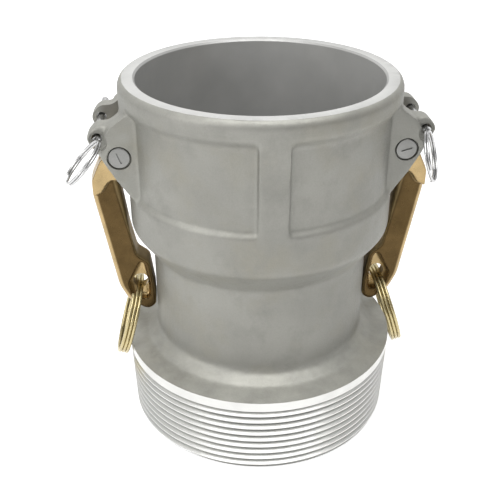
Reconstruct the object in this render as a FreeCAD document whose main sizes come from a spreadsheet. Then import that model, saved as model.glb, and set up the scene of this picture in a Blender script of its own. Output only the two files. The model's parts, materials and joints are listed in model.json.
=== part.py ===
"""Female camlock coupler with a taper pipe thread: body, gasket, two cam arms, their pins and rings."""
import FreeCAD, Part
import math
import os

import Sketcher
from FreeCAD import Placement, Rotation, Vector

os.makedirs("parts", exist_ok=True)
doc = FreeCAD.newDocument("camlock_coupler")

# ---------------------------------------------------------------- driving dimensions, millimetres
# The origin is on the bore axis at the threaded end. +Z runs to the mouth, the ears are along +X and -X.
DIMENSIONS = {
    "bell_height": 145.9,       # threaded end to the rim of the mouth
    "collar_radius": 53.3,      # upper collar and rim
    "rim_round": 1.8,
    "waist_collar_radius": 51.7,  # lower collar
    "waist_collar_top": 103.6,
    "waist_collar_low": 87.7,
    "neck_radius": 43.5,
    "neck_top": 76.5,
    "neck_low": 37.4,
    "neck_round": 4.5,
    "shoulder_height": 34.3,    # top edge of the threaded end
    "thread_radius": 55.05,     # crest at the threaded end
    "thread_slope": 0.03125,    # radius gained per millimetre: a taper of 1 in 16
    "thread_pitch": 3.175,
    "thread_depth": 2.3,
    "thread_first": 0.85,       # lowest root above the threaded end
    "thread_flank": 0.57735,    # half width of the groove for each millimetre of depth: 60 degrees
    "thread_run_out": 0.4,      # groove outline carried past the crest
    "thread_chamfer": 1.2,
    "panel_radius": 50.2,       # cast panels between the collars
    "panel_low": 104.8,
    "panel_high": 137.0,
    "panel_top_step": 1.0,
    "panel_ledge": 0.8,         # fall of the lower collar's top face for each millimetre out
    "rib_half_width": 5.6,
    "entry_radius": 46.7,
    "entry_depth": 12.0,
    "entry_chamfer": 0.7,
    "bell_radius": 46.1,
    "groove_radius": 47.5,      # undercut that holds the gasket
    "seat_height": 86.2,
    "groove_height": 6.8,
    "passage_radius": 38.0,
    "thread_bore_radius": 48.5,
    "thread_bore_depth": 22.0,
    "thread_bore_cone": 12.0,
    "gasket_outer_radius": 47.3,
    "gasket_inner_radius": 38.2,
    "gasket_height": 6.35,
    "gasket_edge_round": 0.8,
    "pivot_out": 53.1,          # arm pivot, from the bore axis and above the threaded end
    "pivot_height": 120.95,
    "pivot_radius": 4.0,
    "pivot_half_length": 18.8,
    "pivot_edge_round": 0.4,
    "pivot_mouth_radius": 4.45,
    "pivot_mouth_depth": 0.8,
    "arm_bore_radius": 4.05,
    "ear_half_gap": 8.25,
    "ear_half_width": 19.0,
    "lobe_half_width": 15.2,
    "lobe_radius": 4.1,
    "lock_out": 60.9,           # cross hole for the safety pin
    "lock_height": 127.3,
    "lock_hole_radius": 1.75,
    "lock_relief_radius": 4.0,  # spot face in the ear that clears the eye of the safety pin
    "lock_pin_radius": 1.5,
    "lock_pin_slit": 0.3,
    "lock_leg_long": 28.0,
    "lock_leg_short": 21.0,
    "eye_wire_radius": 0.65,
    "eye_radius": 2.6,          # centre line of the safety pin's eye
    "eye_reach": 18.7,          # eye centre, out from the middle plane
    "pin_neck": 2.0,            # solid shank between the eye and the two legs
    "window_low": 110.4,        # opening for the cam through the bell wall
    "window_high": 129.7,
    "hub_half_width": 8.0,
    "hub_radius": 6.7,
    "cam_radius": 7.2,
    "cam_offset": 2.6,          # cam centre, in from the pivot
    "cam_drop": 0.3,            # cam centre, below the pivot
    "arm_half_thickness": 5.5,
    "arm_edge_round": 2.0,
    "pocket_depth": 3.2,
    "ring_hole_out": 49.85,
    "ring_hole_height": 59.2,
    "ring_hole_radius": 3.2,
    "finger_ring_radius": 17.0,   # centre line
    "finger_wire": 1.4,
    "finger_turns": 3.0,
    "finger_sag": 1.1,            # ring's top below the hole centre
    "finger_lean": 17.0,
    "safety_ring_radius": 9.2,    # centre line
    "safety_wire": 0.9,
    "safety_turns": 2.0,
    "safety_hang": 45.0,          # angle round the ring from its top to the eye
    "left_ring_lean": 42.5,
    "left_ring_twist": 0.0,
    "right_ring_lean": 17.0,
    "right_ring_twist": 22.0,
}
NEAR = 0.02          # how close an edge must be to the place asked for
PAST = 2.0           # how far a cutting tool runs past the face it opens
CLEAR = 8.0          # how far a cutting tool runs out past the ears
WIRE_ROUND = 0.42    # rounding of a wound ring's edges, in wire thicknesses
HANDLE_BACK = 53.0   # edges of the handle farther out than this are rounded

# Outlines of the +X side. A corner is (out from the bore axis, up, rounding radius).
EAR_PLATE = [
    (45.6, 140.2, 0), (49.4, 137.4, 0), (56.2, 132.4, 2.0), (58.3, 128.6, 4.0),
    (59.9, 121.0, 4.0), (54.65, 112.0, 0), (48.1, 102.4, 0), (45.6, 98.8, 0),
]
EAR_LOBE = [
    (45.6, 134.5, 0), (50.0, 134.5, 0), (56.8, 131.6, 0), (60.9, 131.2, 3.4),
    (64.9, 127.3, 3.2), (60.2, 119.8, 0), (54.65, 112.0, 0), (45.6, 112.0, 0),
]
ARM_HANDLE = [
    (55.6, 108.5, 0), (52.2, 81.5, 0), (50.4, 72.8, 3.0), (45.6, 69.2, 3.5),
    (43.95, 56.0, 0), (43.95, 48.6, 2.0), (47.2, 46.4, 2.0), (55.4, 50.7, 5.0),
    (58.9, 58.0, 14.0), (65.9, 99.0, 16.0), (65.9, 107.0, 7.0), (62.2, 115.0, 0),
    (57.0, 118.5, 0),
]
ARM_HEEL = [
    (55.3, 107.5, 0), (58.5, 106.4, 4.0), (62.9, 101.2, 0), (65.3, 102.6, 0),
    (65.3, 107.2, 7.0), (62.0, 114.6, 4.0), (58.0, 118.6, 0), (51.5, 114.0, 0),
]
ARM_POCKET = [
    (49.2, 70.4, 1.2), (54.9, 59.4, 3.0), (52.8, 53.0, 2.5), (46.2, 51.4, 2.0),
    (45.9, 58.0, 0), (47.3, 67.6, 0),
]


class Size(float):
    """A number that also carries the sheet expression it comes from."""

    def __new__(cls, value, text):
        size = float.__new__(cls, value)
        size.text = text
        return size

    def combined(self, other, sign, value):
        return Size(value, f"({self.text} {sign} {written(other)})")

    def __add__(self, other):
        return self.combined(other, "+", float(self) + float(other))

    def __sub__(self, other):
        return self.combined(other, "-", float(self) - float(other))

    def __mul__(self, other):
        return self.combined(other, "*", float(self) * float(other))

    def __neg__(self):
        return Size(-float(self), f"(-1 * {self.text})")


def written(amount):
    """The expression text of a Size or of a plain number."""
    return getattr(amount, "text", repr(float(amount)))


def fill_sheet():
    """Write the dimensions to the sheet, a name and a plain number to a row."""
    sheet = doc.addObject("Spreadsheet::Sheet", "dims")
    for row, (name, value) in enumerate(DIMENSIONS.items(), start=1):
        sheet.set(f"A{row}", name)
        sheet.set(f"B{row}", str(value))
        sheet.setAlias(f"B{row}", name)
    doc.recompute()


def dim(name):
    return Size(DIMENSIONS[name], f"dims.{name}")


fill_sheet()


# ---------------------------------------------------------------- sketches and simple features
def fix(sketch, line, way, amount):
    """Hold one corner at its distance from the sketch's origin, across (X) or up (Y)."""
    if float(amount) == 0.0:
        axis = -2 if way == "X" else -1
        sketch.addConstraint(Sketcher.Constraint("PointOnObject", line, 1, axis))
        return
    held = Sketcher.Constraint(f"Distance{way}", -1, 1, line, 1, float(amount))
    index = sketch.addConstraint(held)
    if hasattr(amount, "text"):
        sketch.setExpression(f"Constraints[{index}]", amount.text)


def draw(sketch, corners):
    """Add one closed outline of straight lines, each corner a pair of distances."""
    first = sketch.GeometryCount
    count = len(corners)
    points = [Vector(float(across), float(up), 0) for across, up in corners]
    for index in range(count):
        sketch.addGeometry(Part.LineSegment(points[index], points[(index + 1) % count]), False)
    for index in range(count):
        meet = Sketcher.Constraint("Coincident", first + index, 2, first + (index + 1) % count, 1)
        sketch.addConstraint(meet)
    for index, (across, up) in enumerate(corners):
        fix(sketch, first + index, "X", across)
        fix(sketch, first + index, "Y", up)


def standing_sketch(name, outlines):
    """A sketch in the plane of the bore axis and the ears: across is +X, up is +Z."""
    sketch = doc.addObject("Sketcher::SketchObject", name)
    sketch.Placement = Placement(Vector(), Rotation(Vector(1, 0, 0), 90))
    for corners in outlines:
        draw(sketch, corners)
    return sketch


def turned(name, outlines):
    """Outlines turned about the bore axis."""
    feature = doc.addObject("Part::Revolution", name)
    feature.Source = standing_sketch(name + "_outline", outlines)
    feature.Axis = Vector(0, 0, 1)
    feature.Angle = 360
    feature.Solid = True
    return feature


def slab(name, corners, inner, outer):
    """An outline given thickness from one distance in front of the middle plane to another."""
    feature = doc.addObject("Part::Extrusion", name)
    feature.Base = standing_sketch(name + "_outline", [corners])
    feature.DirMode = "Custom"
    feature.Dir = Vector(0, -1, 0)
    feature.Solid = True
    feature.setExpression("LengthFwd", written(outer))
    feature.setExpression("LengthRev", written(-inner))
    return feature


def box(name, low, high):
    """A block between two corners."""
    feature = doc.addObject("Part::Box", name)
    for prop, start, end in zip(("Length", "Width", "Height"), low, high):
        feature.setExpression(prop, f"{written(end)} - {written(start)}")
    for letter, start in zip("xyz", low):
        feature.setExpression(f"Placement.Base.{letter}", written(start))
    return feature


def rod(name, radius, across, height, near, far):
    """A round bar along Y, from one distance along Y to another."""
    feature = doc.addObject("Part::Cylinder", name)
    feature.Placement = Placement(Vector(), Rotation(Vector(1, 0, 0), -90))
    feature.setExpression("Radius", written(radius))
    feature.setExpression("Height", f"{written(far)} - {written(near)}")
    feature.setExpression("Placement.Base.x", written(across))
    feature.setExpression("Placement.Base.y", written(near))
    feature.setExpression("Placement.Base.z", written(height))
    return feature


def joined(name, pieces):
    feature = doc.addObject("Part::MultiFuse", name)
    feature.Shapes = pieces
    return feature


def cut(name, base, tools):
    """The base less one tool or several."""
    tool = tools[0] if len(tools) == 1 else joined(name + "_tools", tools)
    feature = doc.addObject("Part::Cut", name)
    feature.Base = base
    feature.Tool = tool
    return feature


def mirrored(name, source, normal):
    feature = doc.addObject("Part::Mirroring", name)
    feature.Source = source
    feature.Base = Vector()
    feature.Normal = normal
    return feature


def rounded(name, base, chosen):
    """Round edges of a feature. Each choice is a test on an edge's end points and a radius."""
    doc.recompute()
    feature = doc.addObject("Part::Fillet", name)
    feature.Base = base
    edges = []
    for index, edge in enumerate(base.Shape.Edges, start=1):
        for test, radius in chosen:
            if test(edge):
                edges.append((index, float(radius), float(radius)))
                break
    if not edges:
        raise RuntimeError(f"{name}: no edge was chosen")
    feature.Edges = edges
    return feature


def on_circle(radius, height):
    """Test for the round edge of a turned piece, by its radius and height."""
    def test(edge):
        point = edge.Vertexes[0].Point
        same_radius = abs(math.hypot(point.x, point.y) - float(radius)) < NEAR
        return same_radius and abs(point.z - float(height)) < NEAR and edge.Closed
    return test


def along_y(across, height):
    """Test for a straight edge parallel to Y, by where it stands."""
    def test(edge):
        ends = [vertex.Point for vertex in edge.Vertexes]
        return len(ends) == 2 and all(
            abs(end.x - float(across)) < NEAR and abs(end.z - float(height)) < NEAR for end in ends
        )
    return test


def rounded_slab(name, corners, inner, outer):
    """A slab whose outline corners each carry a rounding radius, 0 for a sharp corner."""
    block = slab(name + "_block", [corner[:2] for corner in corners], inner, outer)
    choices = []
    for across, up, radius in corners:
        if radius:
            choices.append((along_y(across, up), radius))
    return rounded(name, block, choices)


def outline_edge(faces, beyond):
    """Test for an edge in either flat face of a slab, farther out than a given distance."""
    def test(edge):
        middle = edge.valueAt((edge.FirstParameter + edge.LastParameter) / 2)
        heights = (middle.y, edge.Vertexes[0].Point.y, edge.Vertexes[-1].Point.y)
        in_face = any(all(abs(height - face) < NEAR for height in heights) for face in faces)
        return in_face and middle.x > beyond
    return test


# ---------------------------------------------------------------- the cast body
def outer_form():
    """The turned outside of the casting, from the threaded end to the rim."""
    crest = dim("thread_radius")
    slope = dim("thread_slope")
    chamfer = dim("thread_chamfer")
    neck = dim("neck_radius")
    waist = dim("waist_collar_radius")
    rim = dim("collar_radius")
    corners = [
        (0, 0),
        (crest - chamfer, 0),
        (crest + slope * chamfer, chamfer),
        (crest + slope * dim("shoulder_height"), dim("shoulder_height")),
        (neck, dim("neck_low")),
        (neck, dim("neck_top")),
        (waist, dim("waist_collar_low")),
        (waist, dim("waist_collar_top")),
        (rim, dim("panel_high")),
        (rim, dim("bell_height")),
        (0, dim("bell_height")),
    ]
    form = turned("outer_form", [corners])
    return rounded("outer_form_rounded", form, [
        (on_circle(neck, dim("neck_low")), dim("neck_round")),
        (on_circle(neck, dim("neck_top")), dim("neck_round")),
        (on_circle(waist, dim("waist_collar_low")), dim("neck_round")),
        (on_circle(rim, dim("bell_height")), dim("rim_round")),
    ])


def thread_grooves():
    """The pipe thread's grooves, one closed ring to each turn."""
    depth = dim("thread_depth")
    run_out = dim("thread_run_out")
    half = (depth + run_out) * dim("thread_flank")
    last = DIMENSIONS["shoulder_height"] - 1.5 * DIMENSIONS["thread_pitch"]
    grooves = []
    height = dim("thread_first")
    while float(height) < last:
        crest = dim("thread_radius") + dim("thread_slope") * height
        grooves.append([
            (crest + run_out, height - half),
            (crest - depth, height),
            (crest + run_out, height + half),
        ])
        height = height + dim("thread_pitch")
    return turned("thread_grooves", grooves)


def panels():
    """The shallow cast panels between the collars, kept clear of the ribs and the ears."""
    reach = dim("collar_radius") + PAST
    ring = turned("panel_ring", [[
        (dim("panel_radius"), dim("panel_low")),
        (dim("waist_collar_radius") + PAST, dim("waist_collar_top") - dim("panel_ledge") * PAST),
        (reach, dim("panel_high")),
        (dim("panel_radius"), dim("panel_high") - dim("panel_top_step")),
    ]])
    low = dim("waist_collar_low")
    high = dim("bell_height")
    rib = box("rib_keep", (-dim("rib_half_width"), -reach, low), (dim("rib_half_width"), reach, high))
    ears = box("ear_keep", (-reach, -dim("ear_half_width"), low), (reach, dim("ear_half_width"), high))
    return cut("panels", ring, [rib, ears])


def ear():
    """One ear, at +X on the -Y side: a thick plate round the pivot and a thinner lobe for the pin."""
    gap = dim("ear_half_gap")
    plate = rounded_slab("ear_plate", EAR_PLATE, gap, dim("ear_half_width"))
    lobe = rounded_slab("ear_lobe", EAR_LOBE, gap, dim("lobe_half_width"))
    return joined("ear", [plate, lobe])


def bore_form():
    """Everything removed along the bore axis: mouth, bell, gasket groove, passage and threaded end."""
    top = dim("bell_height")
    entry = dim("entry_radius")
    bell = dim("bell_radius")
    groove = dim("groove_radius")
    seat = dim("seat_height")
    passage = dim("passage_radius")
    wide = dim("thread_bore_radius")
    chamfer = dim("entry_chamfer")
    step = entry - bell
    return turned("bore_form", [[
        (0, -PAST),
        (wide, -PAST),
        (wide, dim("thread_bore_depth")),
        (passage, dim("thread_bore_depth") + dim("thread_bore_cone")),
        (passage, seat),
        (groove, seat),
        (groove, seat + dim("groove_height")),
        (bell, seat + dim("groove_height")),
        (bell, top - dim("entry_depth") - step),
        (entry, top - dim("entry_depth")),
        (entry, top - chamfer),
        (entry + chamfer + PAST, top + PAST),
        (0, top + PAST),
    ]])


def pivot_hole(side, out):
    """The bore for a pivot pin, opened out at both mouths."""
    half = dim("ear_half_width")
    mouth = dim("pivot_mouth_radius")
    height = dim("pivot_height")
    return [
        rod(f"{side}_pivot_hole", dim("pivot_radius"), out, height, -half - PAST, half + PAST),
        rod(f"{side}_pivot_mouth_front", mouth, out, height, -half - PAST, dim("pivot_mouth_depth") - half),
        rod(f"{side}_pivot_mouth_back", mouth, out, height, half - dim("pivot_mouth_depth"), half + PAST),
    ]


def coupler_body():
    """The casting: outside, panels, four ears, thread, bore, cam windows and cross holes."""
    shell = cut("panelled_form", outer_form(), [panels(), thread_grooves()])
    right_front = ear()
    right_back = mirrored("right_back_ear", right_front, Vector(0, 1, 0))
    right_pair = joined("right_ears", [right_front, right_back])
    left_pair = mirrored("left_ears", right_pair, Vector(1, 0, 0))
    solid = joined("casting_blank", [shell, right_pair, left_pair])
    gap = dim("ear_half_gap")
    reach = dim("pivot_out") + CLEAR
    tools = [
        bore_form(),
        box("cam_windows", (-reach, -gap, dim("window_low")), (reach, gap, dim("window_high"))),
    ]
    lobe = dim("lobe_half_width")
    relief = dim("lock_relief_radius")
    for side, sign in (("right", 1), ("left", -1)):
        tools += pivot_hole(side, dim("pivot_out") * sign)
        lock = (dim("lock_out") * sign, dim("lock_height"))
        tools.append(rod(f"{side}_lock_hole", dim("lock_hole_radius"), *lock, -lobe - CLEAR, lobe + CLEAR))
        tools.append(rod(f"{side}_relief_front", relief, *lock, -lobe - CLEAR, -lobe))
        tools.append(rod(f"{side}_relief_back", relief, *lock, lobe, lobe + CLEAR))
    return cut("coupler_body", solid, tools)


# ---------------------------------------------------------------- gasket and pivot pins
def gasket():
    inner = dim("gasket_inner_radius")
    outer = dim("gasket_outer_radius")
    seat = dim("seat_height")
    top = seat + dim("gasket_height")
    ring = turned("gasket_ring", [[(inner, seat), (outer, seat), (outer, top), (inner, top)]])
    return rounded("gasket", ring, [
        (on_circle(inner, top), dim("gasket_edge_round")),
        (on_circle(outer, top), dim("gasket_edge_round")),
    ])


def closed_edge(edge):
    return edge.Closed


def pivot_pin(side, out):
    half = dim("pivot_half_length")
    bar = rod(f"{side}_pivot_bar", dim("pivot_radius"), out, dim("pivot_height"), -half, half)
    return rounded(f"{side}_pivot_pin", bar, [(closed_edge, dim("pivot_edge_round"))])


# ---------------------------------------------------------------- cam arms
def right_arm():
    """The +X arm: hub with its off-centre cam, flat handle, and a dished eye at the tip."""
    out = dim("pivot_out")
    height = dim("pivot_height")
    thin = dim("arm_half_thickness")
    wide = dim("hub_half_width")
    handle = rounded_slab("arm_handle", ARM_HANDLE, -thin, thin)
    handle_soft = rounded("arm_handle_soft", handle, [
        (outline_edge([-float(thin), float(thin)], HANDLE_BACK), dim("arm_edge_round")),
    ])
    hub = rod("arm_hub", dim("hub_radius"), out, height, -wide, wide)
    cam = rod("arm_cam", dim("cam_radius"), out - dim("cam_offset"), height - dim("cam_drop"), -wide, wide)
    heel = rounded_slab("arm_heel", ARM_HEEL, -wide, wide)
    solid = joined("arm_solid", [handle_soft, hub, cam, heel])
    hole = (dim("ring_hole_out"), dim("ring_hole_height"))
    floor = thin - dim("pocket_depth")
    tools = [
        rod("arm_pivot_bore", dim("arm_bore_radius"), out, height, -wide - PAST, wide + PAST),
        rod("arm_ring_hole", dim("ring_hole_radius"), *hole, -thin - PAST, thin + PAST),
        rounded_slab("arm_pocket_front", ARM_POCKET, floor, thin + PAST),
        rounded_slab("arm_pocket_back", ARM_POCKET, -thin - PAST, -floor),
    ]
    return cut("right_cam_arm", solid, tools)


# ---------------------------------------------------------------- rings and safety pins
def band(name, radius, wire, turns):
    """A split ring wound tight, as one closed band lying flat about the origin."""
    half = wire * turns * 0.5
    ring = turned(name + "_band", [[
        (radius - wire * 0.5, -half),
        (radius + wire * 0.5, -half),
        (radius + wire * 0.5, half),
        (radius - wire * 0.5, half),
    ]])
    return rounded(name, ring, [(closed_edge, wire * WIRE_ROUND)])


def ring_directions(side, lean, twist):
    """Unit vectors down the slope of a hanging ring and across its plane."""
    down = Vector(side * math.sin(math.radians(lean)), 0, -math.cos(math.radians(lean)))
    across = Vector(-math.sin(math.radians(twist)), -math.cos(math.radians(twist)), 0)
    across = across - down * across.dot(down)
    across.normalize()
    return down, across


def hang(ring, centre, down, across):
    """Place a flat ring with its centre at a point and its plane along two directions."""
    ring.Placement = Placement(centre, Rotation(across, down, across.cross(down), "ZXY"))


def finger_ring(side_name, side):
    ring = band(f"{side_name}_finger_ring", dim("finger_ring_radius"), dim("finger_wire"),
                dim("finger_turns"))
    down, across = ring_directions(side, DIMENSIONS["finger_lean"], 0.0)
    hole = Vector(side * DIMENSIONS["ring_hole_out"], 0, DIMENSIONS["ring_hole_height"])
    reach = DIMENSIONS["finger_sag"] + DIMENSIONS["finger_ring_radius"]
    hang(ring, hole + down * reach, down, across)
    return ring


def safety_ring(side_name, side):
    ring = band(f"{side_name}_safety_ring", dim("safety_ring_radius"), dim("safety_wire"),
                dim("safety_turns"))
    down, across = ring_directions(side, DIMENSIONS[f"{side_name}_ring_lean"],
                                   DIMENSIONS[f"{side_name}_ring_twist"])
    eye = Vector(side * DIMENSIONS["lock_out"], -DIMENSIONS["eye_reach"], DIMENSIONS["lock_height"])
    turn = math.radians(DIMENSIONS["safety_hang"])
    radius = DIMENSIONS["safety_ring_radius"]
    centre = eye + down * (radius * math.cos(turn)) + across * (radius * math.sin(turn))
    hang(ring, centre, down, across)
    return ring


def safety_pin(side_name, side):
    """A split pin: two half-round legs folded from one wire, with an eye for its ring."""
    out = dim("lock_out") * side
    height = dim("lock_height")
    slit = dim("lock_pin_slit") * 0.5
    reach = dim("eye_reach")
    start = dim("eye_radius") - reach
    end = dim("lock_leg_long")
    wide = dim("lock_pin_radius") + PAST
    shank = rod(f"{side_name}_pin_shank", dim("lock_pin_radius"), out, height, start, end)
    gap = box(f"{side_name}_pin_slit",
              (out - wide, start + dim("pin_neck"), height - slit),
              (out + wide, end + PAST, height + slit))
    short = box(f"{side_name}_pin_short_leg",
                (out - wide, dim("lock_leg_short"), height - wide),
                (out + wide, end + PAST, height))
    legs = cut(f"{side_name}_pin_legs", shank, [gap, short])
    eye = doc.addObject("Part::Torus", f"{side_name}_pin_eye")
    down, across = ring_directions(side, DIMENSIONS[f"{side_name}_ring_lean"], 0.0)
    eye.Placement = Placement(Vector(), Rotation(across, across.cross(down) * -1, down, "ZXY"))
    eye.setExpression("Radius1", dim("eye_radius").text)
    eye.setExpression("Radius2", dim("eye_wire_radius").text)
    eye.setExpression("Placement.Base.x", out.text)
    eye.setExpression("Placement.Base.y", (-reach).text)
    eye.setExpression("Placement.Base.z", height.text)
    return joined(f"{side_name}_safety_pin", [legs, eye])


# ---------------------------------------------------------------- assembly
def build():
    """Every piece of the coupler, by the name of its file."""
    pieces = {"coupler_body": coupler_body(), "gasket": gasket()}
    arm = right_arm()
    pieces["right_cam_arm"] = arm
    pieces["left_cam_arm"] = mirrored("left_cam_arm", arm, Vector(1, 0, 0))
    for side_name, side in (("right", 1), ("left", -1)):
        pieces[f"{side_name}_pivot_pin"] = pivot_pin(side_name, dim("pivot_out") * side)
        pieces[f"{side_name}_finger_ring"] = finger_ring(side_name, side)
        pieces[f"{side_name}_safety_pin"] = safety_pin(side_name, side)
        pieces[f"{side_name}_safety_ring"] = safety_ring(side_name, side)
    return pieces


def check_document():
    """Stop if any object of the document failed."""
    for item in doc.Objects:
        if "Invalid" in item.State or "Error" in item.State:
            raise RuntimeError(f"{item.Name} failed: {item.State}")


def export(pieces):
    for node, piece in pieces.items():
        shape = piece.Shape
        if shape.isNull() or not shape.isValid():
            raise RuntimeError(f"{node} has no valid shape")
        if len(shape.Solids) != 1:
            raise RuntimeError(f"{node} has {len(shape.Solids)} solids")
        piece.Label = node
        shape.exportStep(f"parts/{node}.step")
        print(f"{node}: {shape.Volume / 1000:.2f} cm3")


parts = build()
doc.recompute()
check_document()
export(parts)
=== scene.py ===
"""Camlock coupler: cast and machined body, gold cam arms, split rings and safety pins."""
import json
import math

import bmesh
import bpy
from bpy.props import FloatProperty, FloatVectorProperty, PointerProperty
from mathutils import Matrix, Vector


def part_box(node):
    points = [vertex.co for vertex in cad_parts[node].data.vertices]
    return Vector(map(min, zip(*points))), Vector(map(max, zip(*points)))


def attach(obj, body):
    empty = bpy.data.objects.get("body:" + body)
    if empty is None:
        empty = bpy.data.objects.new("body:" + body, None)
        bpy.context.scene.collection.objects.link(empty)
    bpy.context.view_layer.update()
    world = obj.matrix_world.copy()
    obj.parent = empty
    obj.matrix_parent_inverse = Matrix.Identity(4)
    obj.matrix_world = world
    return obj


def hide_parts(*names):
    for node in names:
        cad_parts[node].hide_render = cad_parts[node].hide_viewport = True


bl_info = {
    "name": "Camlock Coupler",
    "version": (1, 0, 0),
    "blender": (4, 5, 0),
    "location": "View3D > Sidebar > Coupler",
    "description": "Builds a cam and groove hose coupler, piece by piece, around its frame",
    "category": "Object",
}

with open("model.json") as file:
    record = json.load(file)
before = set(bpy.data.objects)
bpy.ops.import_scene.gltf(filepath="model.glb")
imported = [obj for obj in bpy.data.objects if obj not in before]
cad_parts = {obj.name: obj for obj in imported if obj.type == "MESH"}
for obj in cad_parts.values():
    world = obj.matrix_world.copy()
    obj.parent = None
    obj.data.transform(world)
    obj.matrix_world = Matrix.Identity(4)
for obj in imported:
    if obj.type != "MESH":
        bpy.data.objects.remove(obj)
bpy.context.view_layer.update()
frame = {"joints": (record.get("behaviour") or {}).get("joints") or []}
JOINTS = {joint["name"]: joint for joint in frame["joints"]}
SIDES = (("left", -1), ("right", 1))
MM = 0.001
FULL_TURN = 2 * math.pi
RIM_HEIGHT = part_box("coupler_body")[1].z
PIN_RECESS = 0.2 * MM
EAR_HALF_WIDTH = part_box("right_pivot_pin")[1].y + PIN_RECESS
PIVOT = Vector(JOINTS["right_arm_pivot"]["pos_m"])
LOCK = Vector(JOINTS["right_safety_ring_swing"]["pos_m"])
RING_HOLE = Vector(JOINTS["right_finger_ring_swing"]["pos_m"])
SENSOR = 36
NEAR = 1e-4  # millimetres: a distance below this counts as none
OVERLAP = 1.0  # millimetres: how far a shell reaches into a gap that is cut clean later

# Outlines of the +X side in the XZ plane, in millimetres. A corner is (across, up) or (across, up,
# rounding radius).
EAR_PLATE = ((45.6, 140.2), (49.4, 137.4), (56.2, 132.4, 2.0), (58.3, 128.6, 4.0), (59.9, 121.0, 4.0),
             (54.65, 112.0), (48.1, 102.4), (45.6, 98.8))
EAR_LOBE = ((45.6, 134.5), (50.0, 134.5), (57.0, 132.2), (61.2, 132.1, 3.8), (65.6, 127.4, 3.6),
            (60.2, 119.8), (54.65, 112.0), (45.6, 112.0))
ARM_HANDLE = ((55.6, 108.5), (52.2, 81.5), (50.4, 72.8, 3.0), (45.6, 69.2, 3.5), (43.95, 56.0),
              (43.95, 48.6, 2.0), (47.2, 46.4, 2.0), (55.4, 50.7, 5.0), (58.9, 58.0, 14.0),
              (65.9, 99.0, 16.0), (65.9, 107.0, 7.0), (62.2, 115.0), (57.0, 118.5))
ARM_HEEL = ((55.3, 107.0), (58.3, 107.8, 3.0), (61.8, 102.3, 1.5), (65.3, 100.5), (65.4, 107.2, 7.0),
            (62.0, 114.6, 4.0), (58.0, 118.6), (51.5, 114.0))
ARM_DISH = ((49.2, 70.4, 1.2), (54.9, 59.4, 3.0), (52.8, 53.0, 2.5), (46.2, 51.4, 2.0), (45.9, 58.0),
            (47.3, 67.6))


# ---------------------------------------------------------------- sizes and colours a user would change
def length(name, description, millimetres):
    return FloatProperty(name=name, description=description, default=millimetres * MM, unit="LENGTH",
                         precision=5)


def turn(name, description, degrees):
    return FloatProperty(name=name, description=description, default=math.radians(degrees),
                         subtype="ANGLE")


def colour(name, description, default):
    return FloatVectorProperty(name=name, description=description, default=default, size=3, min=0.0,
                               max=1.0, subtype="COLOR")


class CouplerCasting(bpy.types.PropertyGroup):
    """Sizes of the cast body."""
    grain: length("Casting grain", "Size of the cells that the casting is moulded from", 0.7)
    roughness_depth: length("Skin depth", "Height of the waves in the cast skin", 0.16)
    collar: length("Collar radius", "Upper collar and rim", 53.3)
    waist: length("Waist radius", "Lower collar", 51.7)
    panel: length("Panel radius", "Recessed wall between the collars", 50.2)
    neck: length("Neck radius", "Plain neck above the thread", 43.5)
    bell: length("Bell bore radius", "Bore that takes the adapter", 46.1)
    entry: length("Entry radius", "Wider bore at the mouth", 46.7)
    passage: length("Passage radius", "Bore through the neck", 38.0)
    ear_gap: length("Ear half gap", "Half of the slot that the arm turns in", 8.25)
    lobe: length("Lobe half width", "Outer face of the thinner lobe that holds the safety pin", 15.2)
    metal: colour("Cast metal", "Bare cast aluminium", (0.262, 0.26, 0.236))
    turned_metal: colour("Turned metal", "Machined aluminium", (0.52, 0.52, 0.505))


class CouplerThread(bpy.types.PropertyGroup):
    """Sizes of the taper pipe thread."""
    crest: length("Crest radius", "Crest of the thread at the threaded end", 55.05)
    pitch: length("Pitch", "Height of one turn", 3.175)
    depth: length("Depth", "Crest to root", 2.3)
    shoulder: length("Shoulder height", "Top edge of the threaded end", 34.3)
    slope: FloatProperty(name="Taper", description="Radius gained for each unit of height",
                         default=0.03125)
    turns: FloatProperty(name="Turns", description="Turns of the thread", default=9.95)
    start: turn("Start", "Where round the body the thread starts", 63.0)


class CouplerArms(bpy.types.PropertyGroup):
    """Sizes of the cam arms and their pivot pins."""
    grain: length("Arm grain", "Size of the cells that the arms are moulded from", 0.42)
    half_thickness: length("Handle half thickness", "Half of the flat handle", 5.5)
    edge: length("Edge round", "Rounding of the handle's outer edges", 3.0)
    hub_half_width: length("Hub half width", "Half of the hub between the ears", 8.0)
    hub: length("Hub radius", "Boss round the pivot pin", 6.7)
    cam: length("Cam radius", "Lobe that presses on the adapter", 7.2)
    bore: length("Pivot bore radius", "Hole that the pivot pin goes through", 4.05)
    ring_hole: length("Ring hole radius", "Hole at the tip for the finger ring", 3.2)
    dish: length("Dish depth", "Depth of the dished tip on each side", 3.2)
    gold: colour("Gold", "Plated arm", (0.40, 0.295, 0.15))
    # This colour is painted shade: a darkened gold for the flat sides, standing in for the dark room they
    # reflect.
    painted_side_shade: colour("Side gold", "Darker plating on the flat sides of the arm", (0.092, 0.060, 0.025))
    pivot_metal: colour("Pivot metal", "Pivot pins", (0.27, 0.27, 0.26))


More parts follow.
